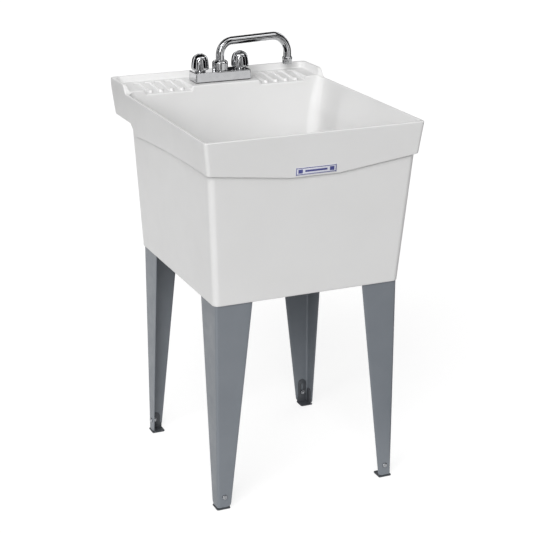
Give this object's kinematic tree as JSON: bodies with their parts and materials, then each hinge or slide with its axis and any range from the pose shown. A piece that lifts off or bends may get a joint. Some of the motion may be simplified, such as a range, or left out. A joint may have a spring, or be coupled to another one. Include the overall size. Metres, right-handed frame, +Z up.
{
  "type": "utility laundry sink",
  "caption": "Deep moulded laundry tub on four tapered folded-steel legs with levelling feet, a ribbed faucet deck, a two-handle swivel-spout faucet and a plugged drain.",
  "frame": {"origin": "on the floor, below the middle of the tub's footprint", "axes": "+Z up, +X to the right of a person standing in front, +Y towards the wall"},
  "size_m": [0.508, 0.6217, 0.9607],
  "materials": {
    "white_plastic": "satin moulded, light grey-white",
    "label_film": "printed film, bare",
    "grey_paint": "satin powder coat, blue-grey",
    "dark_paint": "satin, dark grey",
    "chrome": "polished",
    "zinc": "bright zinc plate",
    "brass": "machined",
    "steel": "polished stainless",
    "rubber": "matte",
    "nylon": "moulded"
  },
  "bodies": {
    "stand": {"tub": "white_plastic", "front_label": "label_film", "leg_front_left": "grey_paint", "leg_front_right": "grey_paint", "leg_back_right": "grey_paint", "leg_back_left": "grey_paint", "foot_bolt_front_left": "zinc", "foot_bolt_front_right": "zinc", "foot_bolt_back_right": "zinc", "foot_bolt_back_left": "zinc", "foot_nut_front_left": "zinc", "foot_nut_front_right": "zinc", "foot_nut_back_right": "zinc", "foot_nut_back_left": "zinc", "faucet_body": "chrome", "faucet_gasket": "rubber", "hot_shank": "brass", "cold_shank": "brass", "hot_mounting_nut": "nylon", "cold_mounting_nut": "nylon", "hot_bonnet": "chrome", "cold_bonnet": "chrome", "spout_nut": "chrome", "drain_strainer": "steel", "drain_gasket": "rubber", "drain_locknut": "nylon", "drain_washer": "rubber", "drain_tailpiece": "white_plastic", "drain_slip_nut": "white_plastic"},
    "hot_handle": {"hot_stem": "brass", "hot_handle": "chrome", "hot_handle_screw": "steel", "hot_handle_cap": "chrome"},
    "cold_handle": {"cold_stem": "brass", "cold_handle": "chrome", "cold_handle_screw": "steel", "cold_handle_cap": "chrome"},
    "spout": {"spout_tube": "chrome", "spout_seal": "rubber", "spout_tip": "chrome"},
    "plug": {"drain_plug": "rubber"},
    "foot_front_left": {"foot_front_left": "dark_paint"},
    "foot_front_right": {"foot_front_right": "dark_paint"},
    "foot_back_right": {"foot_back_right": "dark_paint"},
    "foot_back_left": {"foot_back_left": "dark_paint"}
  },
  "joints": [
    {"name": "hot_turn", "type": "hinge", "parent": "stand", "child": "hot_handle", "pos_m": [-0.051, 0.242, 0.9], "axis": [0, 0, 1], "range_deg": [0, 90]},
    {"name": "cold_turn", "type": "hinge", "parent": "stand", "child": "cold_handle", "pos_m": [0.051, 0.242, 0.9], "axis": [0, 0, -1], "range_deg": [0, 90]},
    {"name": "spout_swivel", "type": "hinge", "parent": "stand", "child": "spout", "pos_m": [0, 0.242, 0.9], "axis": [0, 0, 1], "continuous": true},
    {"name": "plug_lift", "type": "slide", "parent": "stand", "child": "plug", "axis": [0, 0, 1], "range_m": [0, 0.06]},
    {"name": "foot_front_left_adjust", "type": "slide", "parent": "stand", "child": "foot_front_left", "axis": [0, 0, -1], "range_m": [0, 0.019]},
    {"name": "foot_front_right_adjust", "type": "slide", "parent": "stand", "child": "foot_front_right", "axis": [0, 0, -1], "range_m": [0, 0.019]},
    {"name": "foot_back_right_adjust", "type": "slide", "parent": "stand", "child": "foot_back_right", "axis": [0, 0, -1], "range_m": [0, 0.019]},
    {"name": "foot_back_left_adjust", "type": "slide", "parent": "stand", "child": "foot_back_left", "axis": [0, 0, -1], "range_m": [0, 0.019]}
  ]
}
